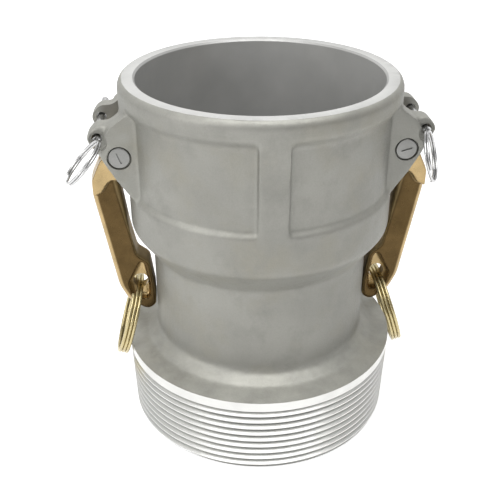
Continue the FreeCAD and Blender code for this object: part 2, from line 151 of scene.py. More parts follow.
class CouplerRings(bpy.types.PropertyGroup):
    """Sizes of the split rings and safety pins."""
    finger_radius: length("Finger ring radius", "Centre line of the finger ring", 17.0)
    finger_wire: length("Finger ring wire", "Wire diameter of the finger ring", 1.45)
    finger_turns: FloatProperty(name="Finger ring turns", description="Turns of wire", default=2.72)
    safety_radius: length("Safety ring radius", "Centre line of the safety ring", 9.2)
    safety_wire: length("Safety ring wire", "Wire diameter of the safety ring", 0.95)
    safety_turns: FloatProperty(name="Safety ring turns", description="Turns of wire", default=1.85)
    left_lean: turn("Left lean", "Lean of the left safety ring from upright", 42.5)
    left_twist: turn("Left twist", "Turn of the left safety ring about the vertical", 0.0)
    right_lean: turn("Right lean", "Lean of the right safety ring from upright", 17.0)
    right_twist: turn("Right twist", "Turn of the right safety ring about the vertical", 22.0)
    pin: length("Safety pin radius", "Two half-round legs side by side", 1.45)
    pin_eye: length("Eye radius", "Centre line of the safety pin's eye", 2.6)
    pin_eye_wire: length("Eye wire radius", "Wire of the eye", 0.65)
    gold: colour("Gold wire", "Plated wire of the finger rings", (0.54, 0.46, 0.26))
    steel: colour("Bright steel", "Safety pins and their rings", (0.56, 0.56, 0.56))


class CouplerStage(bpy.types.PropertyGroup):
    """Camera, lights and floor."""
    azimuth: turn("Camera azimuth", "Turn of the camera about the bore axis", -4.75)
    elevation: turn("Camera elevation", "Height of the camera as an angle", 29.39)
    distance: length("Camera distance", "From the point looked at", 335.93)
    aim: FloatVectorProperty(name="Point looked at", description="Centre of the view",
                             default=(-0.00388, 0.00032, 0.06988), size=3, subtype="TRANSLATION")
    lens: FloatProperty(name="Lens", description=f"Focal length in millimetres on a {SENSOR} mm frame",
                        default=57.72)
    floor_colour: colour("Floor", "Plain pale floor", (0.93, 0.93, 0.93))
    dark_wall: FloatProperty(name="Dark wall", description="Light from the unlit side", default=0.30)
    bright_wall: FloatProperty(name="Bright wall", description="Light from the other sides", default=0.72)


# ---------------------------------------------------------------- mesh tools, in millimetres
def mm(metres):
    return metres / MM


def rounded_face(bm, corners):
    """One flat face in the XZ plane, with the corners that give a radius rounded."""
    verts = [bm.verts.new((corner[0], 0, corner[1])) for corner in corners]
    bm.faces.new(verts)
    offsets = []
    for index, corner in enumerate(corners):
        radius = corner[2] if len(corner) > 2 else 0
        here = verts[index].co
        back = verts[index - 1].co - here
        ahead = verts[(index + 1) % len(verts)].co - here
        offsets.append(radius / math.tan(back.angle(ahead) / 2) if radius else 0)
    for vert, offset in zip(verts, offsets):
        if offset:
            bmesh.ops.bevel(bm, geom=[vert], offset=offset, segments=6, profile=0.5,
                            affect="VERTICES", material=-1)


def slab(corners, near, far):
    """A rounded outline given thickness along Y."""
    bm = bmesh.new()
    rounded_face(bm, corners)
    bmesh.ops.translate(bm, vec=(0, near, 0), verts=bm.verts)
    grown = bmesh.ops.extrude_face_region(bm, geom=bm.faces[:])
    moved = [item for item in grown["geom"] if isinstance(item, bmesh.types.BMVert)]
    bmesh.ops.translate(bm, vec=(0, far - near, 0), verts=moved)
    bmesh.ops.recalc_face_normals(bm, faces=bm.faces)
    return bm


def turned(corners, steps=256):
    """A rounded outline turned all the way about the Z axis."""
    bm = bmesh.new()
    rounded_face(bm, corners)
    on_axis = [edge for edge in bm.edges if all(abs(vert.co.x) < NEAR for vert in edge.verts)]
    bmesh.ops.delete(bm, geom=bm.faces[:], context="FACES_ONLY")
    bmesh.ops.delete(bm, geom=on_axis, context="EDGES")
    bmesh.ops.spin(bm, geom=bm.verts[:] + bm.edges[:], axis=(0, 0, 1), angle=FULL_TURN, steps=steps,
                   use_merge=True)
    bmesh.ops.remove_doubles(bm, verts=bm.verts, dist=NEAR)
    bmesh.ops.recalc_face_normals(bm, faces=bm.faces)
    return bm


def sector(corners, middle, half_angle, steps=12):
    """A rounded outline turned through part of a turn about the Z axis."""
    bm = bmesh.new()
    rounded_face(bm, corners)
    bmesh.ops.rotate(bm, verts=bm.verts, matrix=Matrix.Rotation(middle - half_angle, 3, "Z"))
    bmesh.ops.spin(bm, geom=bm.verts[:] + bm.edges[:] + bm.faces[:], axis=(0, 0, 1),
                   angle=2 * half_angle, steps=steps)
    bmesh.ops.recalc_face_normals(bm, faces=bm.faces)
    return bm


def along_y(bm, across, up):
    """Turn a piece made about the Z axis so that it lies along Y, and put it in place."""
    bmesh.ops.rotate(bm, verts=bm.verts, matrix=Matrix.Rotation(math.radians(90), 3, "X"))
    bmesh.ops.translate(bm, vec=(across, 0, up), verts=bm.verts)
    return bm


def rod(radius, half_length, across, up):
    """A round bar along Y."""
    return along_y(turned([
        (0, -half_length), (radius, -half_length), (radius, half_length), (0, half_length),
    ], steps=64), across, up)


def flipped(bm, way):
    """The mirror image of a piece across the origin along one axis."""
    scale = [-1 if letter == way else 1 for letter in "XYZ"]
    twin = bm.copy()
    bmesh.ops.scale(twin, vec=scale, verts=twin.verts)
    bmesh.ops.reverse_faces(twin, faces=twin.faces)
    return twin


def gathered(shells):
    """Several closed shells as one scratch object."""
    mesh = bpy.data.meshes.new("scratch")
    whole = bmesh.new()
    for shell in shells:
        shell.to_mesh(mesh)
        whole.from_mesh(mesh)
        shell.free()
    whole.to_mesh(mesh)
    whole.free()
    scratch = bpy.data.objects.new("scratch", mesh)
    bpy.context.scene.collection.objects.link(scratch)
    return scratch


def settle(item):
    """Apply an object's modifiers to its mesh."""
    depsgraph = bpy.context.evaluated_depsgraph_get()
    mesh = bpy.data.meshes.new_from_object(item.evaluated_get(depsgraph), depsgraph=depsgraph)
    rough = item.data
    item.modifiers.clear()
    item.data = mesh
    bpy.data.meshes.remove(rough)


def moulded(item, grain, smoothing, keep):
    """Join overlapping shells into one skin with soft corners, as a casting comes from its mould."""
    remesh = item.modifiers.new("mould", "REMESH")
    remesh.mode = "VOXEL"
    remesh.voxel_size = grain
    soften = item.modifiers.new("soften", "SMOOTH")
    soften.factor = 0.5
    soften.iterations = smoothing
    thin = item.modifiers.new("thin", "DECIMATE")
    thin.ratio = keep
    settle(item)


def machined(item, operation, tool):
    """Cut with, or add, a closed tool, then throw the tool away."""
    step = item.modifiers.new("machining", "BOOLEAN")
    step.operation = operation
    step.solver = "MANIFOLD"
    step.object = tool
    settle(item)
    mesh = tool.data
    bpy.data.objects.remove(tool)
    bpy.data.meshes.remove(mesh)


def shade(bm, sharp):
    """Smooth faces, with edges sharper than an angle kept crisp."""
    for face in bm.faces:
        face.smooth = True
    for edge in bm.edges:
        edge.smooth = len(edge.link_faces) == 2 and edge.calc_face_angle(0) < sharp


def finished(item, name, body, node, materials, choose=None, sharp=math.radians(32)):
    """Bring a piece to metres, shade it, give it its materials, and tie it to the frame."""
    bm = bmesh.new()
    bm.from_mesh(item.data)
    bmesh.ops.dissolve_degenerate(bm, dist=1e-5, edges=bm.edges)
    bm.normal_update()
    if choose:
        for face in bm.faces:
            face.material_index = choose(face.calc_center_median(), face.normal)
    shade(bm, sharp)
    bmesh.ops.scale(bm, vec=(MM, MM, MM), verts=bm.verts)
    item.data.materials.clear()
    bm.to_mesh(item.data)
    bm.free()
    for material in materials:
        item.data.materials.append(material)
    item.name = name
    item.data.name = name
    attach(item, body)
    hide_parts(node)
    return item


# ---------------------------------------------------------------- materials
class Finish:
    """A material under construction: its node tree, its shader, and where each point is and faces."""

    def __init__(self, name, base, metallic, roughness):
        self.material = bpy.data.materials.new(name)
        self.material.use_nodes = True
        self.tree = self.material.node_tree
        self.shader = self.tree.nodes["Principled BSDF"]
        self.shader.inputs["Base Color"].default_value = (*base, 1)
        self.shader.inputs["Metallic"].default_value = metallic
        self.shader.inputs["Roughness"].default_value = roughness
        coordinates = self.tree.nodes.new("ShaderNodeTexCoord")
        self.place = coordinates.outputs["Object"]
        self.facing = coordinates.outputs["Normal"]

    def link(self, start, end):
        self.tree.links.new(start, end)

    def along(self, vector, letter):
        """One component of a vector, such as a place in metres or a direction."""
        split = self.tree.nodes.new("ShaderNodeSeparateXYZ")
        self.link(vector, split.inputs["Vector"])
        return split.outputs[letter]

    def worked(self, operation, *values):
        """A sum on outputs and plain numbers."""
        node = self.tree.nodes.new("ShaderNodeMath")
        node.operation = operation
        for socket, value in zip(node.inputs, values):
            if isinstance(value, bpy.types.NodeSocket):
                self.link(value, socket)
            else:
                socket.default_value = value
        return node.outputs["Value"]

    def noise(self, scale, detail=4.0, roughness=0.55):
        """Noise on object coordinates, as a value from about 0.3 to 0.7."""
        noise = self.tree.nodes.new("ShaderNodeTexNoise")
        noise.inputs["Scale"].default_value = scale
        noise.inputs["Detail"].default_value = detail
        noise.inputs["Roughness"].default_value = roughness
        self.link(self.place, noise.inputs["Vector"])
        return noise.outputs["Fac"]

    def spread(self, value, low, high, start=0.32, end=0.68):
        """Stretch a value to run from low to high."""
        node = self.tree.nodes.new("ShaderNodeMapRange")
        node.inputs["From Min"].default_value = start
        node.inputs["From Max"].default_value = end
        node.inputs["To Min"].default_value = low
        node.inputs["To Max"].default_value = high
        self.link(value, node.inputs["Value"])
        return node.outputs["Result"]

    def mixed(self, value, first, second):
        """Blend two colours, each a colour or another output, by a value."""
        node = self.tree.nodes.new("ShaderNodeMix")
        node.data_type = "RGBA"
        self.link(value, node.inputs[0])
        for socket, tint in ((node.inputs[6], first), (node.inputs[7], second)):
            if isinstance(tint, bpy.types.NodeSocket):
                self.link(tint, socket)
            else:
                socket.default_value = (*tint, 1)
        return node.outputs[2]

    def paint(self, tint):
        self.link(tint, self.shader.inputs["Base Color"])

    def dull(self, value):
        self.link(value, self.shader.inputs["Roughness"])

    def bumps(self, heights):
        """Stack bumps. Each is a height output, its distance in metres and its strength."""
        normal = None
        for height, distance, strength in heights:
            node = self.tree.nodes.new("ShaderNodeBump")
            node.inputs["Distance"].default_value = distance
            node.inputs["Strength"].default_value = strength
            self.link(height, node.inputs["Height"])
            if normal:
                self.link(normal, node.inputs["Normal"])
            normal = node.outputs["Normal"]
        self.link(normal, self.shader.inputs["Normal"])


def shaded(base, factor):
    """A colour made lighter or darker."""
    return tuple(min(1.0, channel * factor) for channel in base)


def cast_aluminium(base):
    """Sand-cast skin: fine grain, cloudy tone, stains, darker patches, and ledges worn brighter."""
    finish = Finish("cast_aluminium", base, 0.6, 0.5)
    clouds = finish.spread(finish.noise(26, 3), 0, 1)
    stains = finish.spread(finish.noise(45, 4), 0, 0.7, 0.48, 0.7)
    patches = finish.spread(finish.noise(70, 5, 0.65), 0, 1, 0.5, 0.72)
    upward = finish.spread(finish.along(finish.facing, "Z"), 0, 1, 0.25, 0.85)
    # Painted light: faces that look upward are painted brighter, as if lit from above, broken up by noise.
    painted_top_light = finish.worked("MULTIPLY", upward, finish.spread(finish.noise(90, 4, 0.7), 0.45, 1.0))
    warm = (base[0] * 0.93, base[1] * 0.90, base[2] * 0.82)
    tone = finish.mixed(clouds, shaded(base, 0.90), shaded(base, 1.08))
    tone = finish.mixed(stains, tone, warm)
    tone = finish.mixed(patches, tone, shaded(base, 0.86))
    finish.paint(finish.mixed(painted_top_light, tone, shaded(base, 1.65)))
    grain = finish.noise(1900, 3, 0.7)
    pits = finish.noise(420, 4, 0.6)
    finish.dull(finish.spread(grain, 0.42, 0.62))
    finish.bumps([(pits, 0.22 * MM, 0.35), (grain, 0.06 * MM, 0.5)])
    return finish.material


def turned_aluminium(name, base, roughness, lathe_marks=0.0, metallic=1.0):
    """Machined metal with light wear. Lathe marks above 0 draw the glare across the tool marks."""
    finish = Finish(name, base, metallic, roughness)
    wear = finish.noise(60, 3, 0.5)
    finish.paint(finish.mixed(finish.spread(wear, 0, 1), shaded(base, 0.93), shaded(base, 1.05)))
    finish.dull(finish.spread(finish.noise(300, 4), roughness - 0.04, roughness + 0.06))
    finish.shader.inputs["Anisotropic"].default_value = lathe_marks
    if lathe_marks:
        tangent = finish.tree.nodes.new("ShaderNodeTangent")
        tangent.direction_type = "RADIAL"
        tangent.axis = "Z"
        finish.link(tangent.outputs["Tangent"], finish.shader.inputs["Tangent"])
    finish.bumps([(finish.noise(150, 2), 0.02 * MM, 0.1)])
    return finish.material


def thread_aluminium(name, base, roughness, thread):
    """Machined thread: bright crests and flanks, dark at the bottom of the groove."""
    finish = Finish(name, base, 1.0, roughness)
    across, back, up = [finish.along(finish.place, letter) for letter in "XYZ"]
    squares = finish.worked("ADD", finish.worked("MULTIPLY", across, across),
                            finish.worked("MULTIPLY", back, back))
    radius = finish.worked("SQRT", squares)
    level = finish.worked("MULTIPLY_ADD", up, -thread.slope, radius)
    root = thread.crest - thread.depth
    bright_from = root + thread.depth * 0.8
    # Painted shade: the colour darkens towards the root of the groove, where shade falls.
    finish.paint(finish.mixed(finish.spread(level, 0, 1, root, bright_from), shaded(base, 0.10), base))
    finish.dull(finish.spread(finish.noise(400, 4), roughness - 0.04, roughness + 0.06))
    finish.bumps([(finish.noise(900, 3), 0.01 * MM, 0.2)])
    return finish.material


def plated(name, base, roughness, dark):
    """Yellow plating over metal: polished, with cloudy tone."""
    finish = Finish(name, base, 1.0, roughness)
    clouds = finish.spread(finish.noise(110, 4), 0, 1)
    finish.paint(finish.mixed(clouds, shaded(base, dark), shaded(base, 1.1)))
    finish.dull(finish.spread(finish.noise(240, 4), roughness - 0.06, roughness + 0.1))
    finish.bumps([(finish.noise(260, 2), 0.03 * MM, 0.08)])
    return finish.material


def plated_arm(size):
    """Yellow plating: bright edges and tip, dark flat sides, and duller where it faces the body."""
    finish = Finish("gold_arm", size.gold, 1.0, 0.26)
    clouds = finish.spread(finish.noise(110, 4), 0, 1)
    bright = finish.mixed(clouds, shaded(size.gold, 0.8), shaded(size.gold, 1.1))
    # dark is painted shade: a darkened copy of the gold for the flat sides, standing in for the dark
    # reflection they show.
    dark = finish.mixed(clouds, shaded(size.painted_side_shade, 0.75), shaded(size.painted_side_shade, 1.1))
    out = finish.worked("ABSOLUTE", finish.along(finish.place, "Y"))
    flat = size.half_thickness
    blend_start = 0.35 * MM
    blend_end = 0.12 * MM
    reached = finish.spread(out, 0, 1, flat - blend_start, flat - blend_end)
    not_passed = finish.spread(out, 1, 0, flat + blend_end, flat + blend_start)
    # The flat sides get the painted shade, the edges and tip the plain gold.
    finish.paint(finish.mixed(finish.worked("MULTIPLY", reached, not_passed), bright, dark))
    outward = finish.worked("MULTIPLY", finish.along(finish.facing, "X"), finish.along(finish.place, "X"))
    duller = finish.spread(outward, 0.3, 0.0, -20 * MM, 0.0)
    finish.dull(finish.worked("ADD", finish.spread(finish.noise(240, 4), 0.2, 0.34), duller))
    finish.bumps([(finish.noise(260, 2), 0.04 * MM, 0.1)])
    return finish.material


def bright_steel(name, base, roughness):
    """Drawn or ground steel with fine scratches."""
    finish = Finish(name, base, 1.0, roughness)
    marks = finish.noise(1400, 4, 0.6)
    finish.paint(finish.mixed(finish.spread(marks, 0, 1), shaded(base, 0.9), shaded(base, 1.04)))
    finish.dull(finish.spread(marks, roughness - 0.04, roughness + 0.08))
    finish.bumps([(marks, 0.02 * MM, 0.3)])
    return finish.material


def nitrile_rubber():
    """Black rubber with a pale bloom."""
    finish = Finish("nitrile_rubber", (0.035, 0.035, 0.038), 0.0, 0.6)
    grain = finish.noise(900, 4, 0.6)
    bloom = finish.spread(finish.noise(60, 4), 0, 0.5)
    finish.paint(finish.mixed(bloom, (0.030, 0.030, 0.033), (0.075, 0.075, 0.078)))
    finish.dull(finish.spread(grain, 0.5, 0.72))
    finish.bumps([(grain, 0.05 * MM, 0.4)])
    return finish.material


def floor_paper(base):
    """Pale paper that glows a little, so that it stays white under soft light."""
    finish = Finish("floor_paper", base, 0.0, 0.9)
    finish.paint(finish.mixed(finish.spread(finish.noise(3, 2), 0, 1), shaded(base, 0.99), base))
    finish.shader.inputs["Emission Color"].default_value = (1, 1, 1, 1)
    finish.shader.inputs["Emission Strength"].default_value = 0.4
    return finish.material


# ---------------------------------------------------------------- the casting
def casting_skin(size):
    """The turned outside of the pattern, closed to the axis, larger than finished where it is machined."""
    collar = mm(size.collar)
    waist = mm(size.waist)
    panel = mm(size.panel)
    neck = mm(size.neck)
    foot = -3
    foot_radius = 59
    top = mm(RIM_HEIGHT) + 0.6
    return turned([
        (0, foot), (foot_radius, foot), (foot_radius, 33.7), (48.3, 36.2, 2.0), (46.6, 37.6, 1.6),
        (neck, 39.4, 3.4), (neck, 76.5, 5.0), (waist, 87.7, 4.0), (waist, 103.0, 1.6),
        (panel, 104.6, 0.6), (panel, 135.5, 3.0), (collar, 139.0, 3.0), (collar, top, 3.6), (0, top),
    ], steps=192)


def raised_band(size, middle, half_width):
    """A part of the wall left flush with both collars: a rib, or the root of a pair of ears."""
    collar = mm(size.collar)
    waist = mm(size.waist)
    inside = 44
    foot = 88.5
    top = mm(RIM_HEIGHT) - 6
    return sector([
        (inside, foot), (waist - 0.3, foot), (waist, 103.4), (collar, 138.0), (collar, top), (inside, top),
    ], math.radians(middle), math.asin(half_width / collar))


def ear_plate(size):
    """The thick part of an ear, round the pivot."""
    return slab(EAR_PLATE, mm(size.ear_gap) - OVERLAP, mm(EAR_HALF_WIDTH))


def ear_lobe(size):
    """The thinner part of an ear, which holds the safety pin."""
    return slab(EAR_LOBE, mm(size.ear_gap) - OVERLAP, mm(size.lobe))


def lathe_cut(size, thread):
    """Everything the lathe removes: bore, mouth, end faces and the outside of the threaded end."""
    top = mm(RIM_HEIGHT)
    entry = mm(size.entry)
    bell = mm(size.bell)
    passage = mm(size.passage)
    crest = mm(thread.crest)
    clear = mm(thread.shoulder) + 4
    outside = 64
    past = 6
    edge_break = 0.7
    chamfer = 1.2
    end_bore = 48.5
    seat = 86.2
    groove = 47.5
    groove_top = 93.0
    taper_foot = top - 40
    taper_top = top - 4
    return turned([
        (0, -past), (outside, -past), (outside, clear), (crest + thread.slope * clear, clear),
        (crest + thread.slope * chamfer, chamfer), (crest - chamfer, 0), (end_bore + edge_break, 0),
        (end_bore, edge_break), (end_bore, 22), (passage, 34), (passage, seat), (groove, seat),
        (groove, groove_top), (bell, groove_top), (bell, taper_foot), (entry, taper_top),
        (entry, top - edge_break), (entry + edge_break, top), (outside, top), (outside, top + past),
        (0, top + past),
    ])


def thread_cut(thread):
    """The helical groove of the thread, fading out at its top."""
    crest = mm(thread.crest)
    depth = mm(thread.depth)
    pitch = mm(thread.pitch)
    half = depth * math.tan(math.radians(30))
    beyond = crest + 1.6
    foot = -1.0
    fading_turns = 0.3
    fade_slope = 1.1
    steps_each_turn = 96
    steps = round(thread.turns * steps_each_turn)
    bm = bmesh.new()
    rounded_face(bm, [(crest - depth, 0), (crest, half), (beyond, half), (beyond, -half), (crest, -half)])
    bmesh.ops.translate(bm, vec=(0, 0, foot), verts=bm.verts)
    bmesh.ops.spin(bm, geom=bm.verts[:] + bm.edges[:] + bm.faces[:], axis=(0, 0, 1),
                   dvec=(0, 0, pitch / steps_each_turn), angle=FULL_TURN * thread.turns, steps=steps)
    bmesh.ops.rotate(bm, verts=bm.verts, matrix=Matrix.Rotation(thread.start, 3, "Z"))
    fade = pitch * (thread.turns - fading_turns) + foot
    for vert in bm.verts:
        outward = Vector((vert.co.x, vert.co.y, 0)).normalized()
        lift = thread.slope * vert.co.z + max(0.0, vert.co.z - fade) * fade_slope
        bmesh.ops.translate(bm, vec=outward * lift, verts=[vert])
    bmesh.ops.recalc_face_normals(bm, faces=bm.faces)
    return bm


def arm_slots(size):
    """The milled slots through the wall for the cams."""
    gap = mm(size.ear_gap)
    inside = 38
    outside = 70
    foot = 110.4
    top = 129.7
    slots = []
    for sign in (-1, 1):
        slots.append(slab([
            (sign * inside, foot), (sign * outside, foot), (sign * outside, top), (sign * inside, top),
        ], -gap, gap))
    return slots


def ear_gaps(size):
    """The rest of each slot, outside the wall, where the arm swings."""
    gap = mm(size.ear_gap)
    wall = mm(size.collar) - 0.4
    draft = 0.6
    outside = 72
    foot = 96
    top = 144
    gaps = []
    for sign in (-1, 1):
        gaps.append(slab([
            (sign * wall, foot), (sign * outside, foot), (sign * outside, top),
            (sign * (wall + draft), top),
        ], -gap, gap))
    return gaps


def drillings(size):
    """Pivot bores opened out at their mouths, and the safety pins' cross holes."""
    reach = mm(EAR_HALF_WIDTH)
    lobe = mm(size.lobe)
    beyond = reach + 3
    pivot = 4.0
    mouth = pivot + 0.5
    mouth_floor = reach - 1.5
    lock = 1.95
    spot_face = 4.0
    spot_floor = lobe + 0.2
    countersink_floor = lobe - 0.7
    holes = []
    for sign in (-1, 1):
        holes.append(along_y(turned([
            (0, -beyond), (mouth, -beyond), (mouth, -mouth_floor), (pivot, -mouth_floor),
            (pivot, mouth_floor), (mouth, mouth_floor), (mouth, beyond), (0, beyond),
        ], steps=64), sign * mm(PIVOT.x), mm(PIVOT.z)))
        holes.append(along_y(turned([
            (0, -beyond), (spot_face, -beyond), (spot_face, -spot_floor), (lock, -countersink_floor),
            (lock, countersink_floor), (spot_face, spot_floor), (spot_face, beyond), (0, beyond),
        ], steps=48), sign * mm(LOCK.x), mm(LOCK.z)))
    return holes


def ripple(item, depth):
    """Push the skin in and out a little, so that cast faces aren't perfectly true."""
    cloud = bpy.data.textures.new("cast_ripple", "CLOUDS")
    cloud.noise_scale = 2.6
    cloud.noise_depth = 3
    wave = item.modifiers.new("ripple", "DISPLACE")
    wave.texture = cloud
    wave.texture_coords = "LOCAL"
    wave.strength = depth
    wave.mid_level = 0.5
    settle(item)
    bpy.data.textures.remove(cloud)


class COUPLER_OT_casting(bpy.types.Operator):
    """Mould the body from its pattern, then turn, thread, mill and drill it"""
    bl_idname = "coupler.casting"
    bl_label = "Cast Body"

    def execute(self, context):
        size = context.scene.coupler_casting
        thread = context.scene.coupler_thread
        rib_half_width = 5.6
        ear_root_half_width = 18.4
        shells = [casting_skin(size)]
        for middle, half_width in ((90, rib_half_width), (270, rib_half_width),
                                   (0, ear_root_half_width), (180, ear_root_half_width)):
            shells.append(raised_band(size, middle, half_width))
        for make in (ear_plate, ear_lobe):
            right_front = make(size)
            right_back = flipped(right_front, "Y")
            shells += [flipped(right_front, "X"), flipped(right_back, "X"), right_front, right_back]
        body = gathered(shells)
        moulded(body, mm(size.grain), smoothing=6, keep=0.5)
        ripple(body, mm(size.roughness_depth))
        for tools in (ear_gaps(size), [lathe_cut(size, thread)], [thread_cut(thread)], arm_slots(size),
                      drillings(size)):
            machined(body, "DIFFERENCE", gathered(tools))
        top = mm(RIM_HEIGHT)
        bore = mm(size.bell) + 2
        near_seat = mm(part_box("gasket")[0].z) - 1
        thread_root = mm(thread.crest - thread.depth) - 0.5
        thread_top = mm(thread.shoulder) + 1.5
        close = 0.01
        level = 0.9

        def machined_face(middle, normal):
            """0 cast skin, 1 bore, 2 thread, 3 rim, 4 plain land above the thread."""
            radius = math.hypot(middle.x, middle.y)
            if middle.z > top - close:
                return 3
            faces_in = normal.x * middle.x + normal.y * middle.y < -0.2 * radius
            on_floor = abs(normal.z) > level and middle.z > near_seat
            if middle.z < close or (radius < bore and (faces_in or on_floor)):
                return 1
            if radius > thread_root and middle.z < thread_top and normal.z < level:
                crest = mm(thread.crest) + thread.slope * middle.z
                return 4 if radius > crest - 2 * close else 2
            return 0

        finished(body, "coupler_casting", "coupler", "coupler_body", [
            cast_aluminium(size.metal),
            turned_aluminium("turned_bore", shaded(size.turned_metal, 0.86), 0.34, lathe_marks=0.3,
                             metallic=0.4),
            thread_aluminium("turned_thread", shaded(size.turned_metal, 1.35), 0.34, thread),
            turned_aluminium("turned_rim", shaded(size.turned_metal, 1.18), 0.42, metallic=0.6),
            turned_aluminium("turned_land", shaded(size.turned_metal, 1.3), 0.36, lathe_marks=0.7),
        ], machined_face)
        return {"FINISHED"}


# ---------------------------------------------------------------- gasket, pivot pins and arms
class COUPLER_OT_gasket(bpy.types.Operator):
    """Turn the flat rubber ring at the bottom of the bell"""
    bl_idname = "coupler.gasket"
    bl_label = "Gasket"

    def execute(self, context):
        low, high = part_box("gasket")
        width = 9.1
        outer = mm(high.x)
        inner = outer - width
        ring = gathered([turned([
            (inner, mm(low.z), 0.5), (outer, mm(low.z), 0.5), (outer, mm(high.z), 0.8),
            (inner, mm(high.z), 0.8),
        ])])
        finished(ring, "gasket_ring", "coupler", "gasket", [nitrile_rubber()])
        return {"FINISHED"}


class COUPLER_OT_pivot_pins(bpy.types.Operator):
    """Turn the two pivot pins and stake their heads"""
    bl_idname = "coupler.pivot_pins"
    bl_label = "Pivot Pins"

    def execute(self, context):
        metal = bright_steel("pivot_metal", context.scene.coupler_arms.pivot_metal, 0.4)
        stake_angles = {"left": -0.35, "right": 1.3}
        stake_depth = 0.5
        for name, side in SIDES:
            low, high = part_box(f"{name}_pivot_pin")
            radius = mm(high.x - low.x) / 2
            half = mm(high.y)
            pin = gathered([along_y(turned([
                (0, -half), (radius, -half, 0.45), (radius, half, 0.45), (0, half),
            ], steps=64), 0, 0)])
            stakes = []
            for sign in (-1, 1):
                stake = slab([(-0.34, -2.1), (0.34, -2.1), (0.34, 2.1), (-0.34, 2.1)],
                             sign * half - stake_depth, sign * half + stake_depth)
                bmesh.ops.rotate(stake, verts=stake.verts,
                                 matrix=Matrix.Rotation(stake_angles[name], 3, "Y"))
                stakes.append(stake)
            machined(pin, "DIFFERENCE", gathered(stakes))
            pin.data.transform(Matrix.Translation((side * mm(PIVOT.x), 0, mm(PIVOT.z))))
            finished(pin, f"{name}_pivot", "coupler", f"{name}_pivot_pin", [metal])
        return {"FINISHED"}


def soften(bm, half, edge_round, chosen):
    """Round the edges between a slab's flat faces and its outline, where a test on across picks them."""
    rims = [edge for edge in bm.edges if edge.calc_face_angle(0) > 1 and
            all(abs(abs(vert.co.y) - half) < NEAR for vert in edge.verts) and
            abs(edge.verts[0].co.y - edge.verts[1].co.y) < NEAR and
            chosen((edge.verts[0].co.x + edge.verts[1].co.x) / 2)]
    bmesh.ops.bevel(bm, geom=rims, offset=edge_round, segments=6, profile=0.5, affect="EDGES",
                    material=-1)


def arm_blank(size):
    """Overlapping shells of the +X arm: handle, hub, cam and heel."""
    out = mm(PIVOT.x)
    height = mm(PIVOT.z)
    half = mm(size.half_thickness)
    wide = mm(size.hub_half_width)
    outer_side = 53
    inner_edge = 0.8
    cam_in = 2.6
    cam_drop = 0.3
    handle = slab(ARM_HANDLE, -half, half)
    soften(handle, half, mm(size.edge), lambda across: across > outer_side)
    soften(handle, half, inner_edge, lambda across: across <= outer_side)
    heel = slab(ARM_HEEL, -wide, wide)
    hub = rod(mm(size.hub), wide, out, height)
    cam = rod(mm(size.cam), wide, out - cam_in, height - cam_drop)
    return [handle, heel, hub, cam]


def arm_dishes(size):
    """The dished hollows either side of the tip."""
    half = mm(size.half_thickness)
    floor = half - mm(size.dish)
    dish = slab(ARM_DISH, floor, half + 3)
    rim = [edge for edge in dish.edges if all(abs(vert.co.y - floor) < NEAR for vert in edge.verts)]
    bmesh.ops.bevel(dish, geom=rim, offset=1.6, segments=4, profile=0.5, affect="EDGES", material=-1)
    return [flipped(dish, "Y"), dish]


class COUPLER_OT_arms(bpy.types.Operator):
    """Mould the two cam arms, dish their tips and drill them"""
    bl_idname = "coupler.arms"
    bl_label = "Cam Arms"

    def execute(self, context):
        size = context.scene.coupler_arms
        gold = plated_arm(size)
        for name, side in SIDES:
            arm = gathered(arm_blank(size))
            moulded(arm, mm(size.grain), smoothing=2, keep=1.0)
            machined(arm, "DIFFERENCE", gathered(arm_dishes(size)))
            moulded(arm, mm(size.grain), smoothing=8, keep=0.8)
            reach = mm(size.hub_half_width) + 2
            drills = [rod(mm(radius), reach, mm(centre.x), mm(centre.z))
                      for radius, centre in ((size.bore, PIVOT), (size.ring_hole, RING_HOLE))]
            machined(arm, "DIFFERENCE", gathered(drills))
            if side < 0:
                mirror(arm)
            finished(arm, f"{name}_arm_lever", f"{name}_arm", f"{name}_cam_arm",
                     [gold], sharp=math.radians(70))
        return {"FINISHED"}


def mirror(item):
    """Turn a +X piece into the -X one."""
    bm = bmesh.new()
    bm.from_mesh(item.data)
    bmesh.ops.scale(bm, vec=(-1, 1, 1), verts=bm.verts)
    bmesh.ops.reverse_faces(bm, faces=bm.faces)
    bm.to_mesh(item.data)
    bm.free()


# ---------------------------------------------------------------- rings and safety pins
def coil(radius, wire, turns, first_angle):
    """A round wire wound tight about the Z axis, its ends drawn to blunt points."""
    blunting = wire * 0.28
    steps_each_turn = 90
    steps = round(turns * steps_each_turn)
    bm = bmesh.new()
    bmesh.ops.create_circle(bm, cap_ends=True, segments=14, radius=wire / 2)
    bmesh.ops.rotate(bm, verts=bm.verts, matrix=Matrix.Rotation(math.radians(90), 3, "X"))
    bmesh.ops.translate(bm, vec=(radius, 0, -wire * turns / 2), verts=bm.verts)
    bmesh.ops.rotate(bm, verts=bm.verts, matrix=Matrix.Rotation(first_angle, 3, "Z"))
    bmesh.ops.spin(bm, geom=bm.verts[:] + bm.edges[:] + bm.faces[:], axis=(0, 0, 1),
                   dvec=(0, 0, wire * turns / steps), angle=FULL_TURN * turns, steps=steps)
    bmesh.ops.recalc_face_normals(bm, faces=bm.faces)
    ends = [face for face in bm.faces if len(face.verts) > 4]
    bmesh.ops.bevel(bm, geom=[edge for face in ends for edge in face.edges], offset=blunting,
                    segments=3, profile=0.5, affect="EDGES", material=-1)
    return bm


def hang(bm, centre, down, across):
    """Stand a flat coil up in the plane of two directions, with its centre at a point."""
    axis = across.cross(down)
    turn_up = Matrix((across, down, axis)).transposed()
    bmesh.ops.rotate(bm, verts=bm.verts, matrix=turn_up)
    bmesh.ops.translate(bm, vec=centre, verts=bm.verts)
    return bm


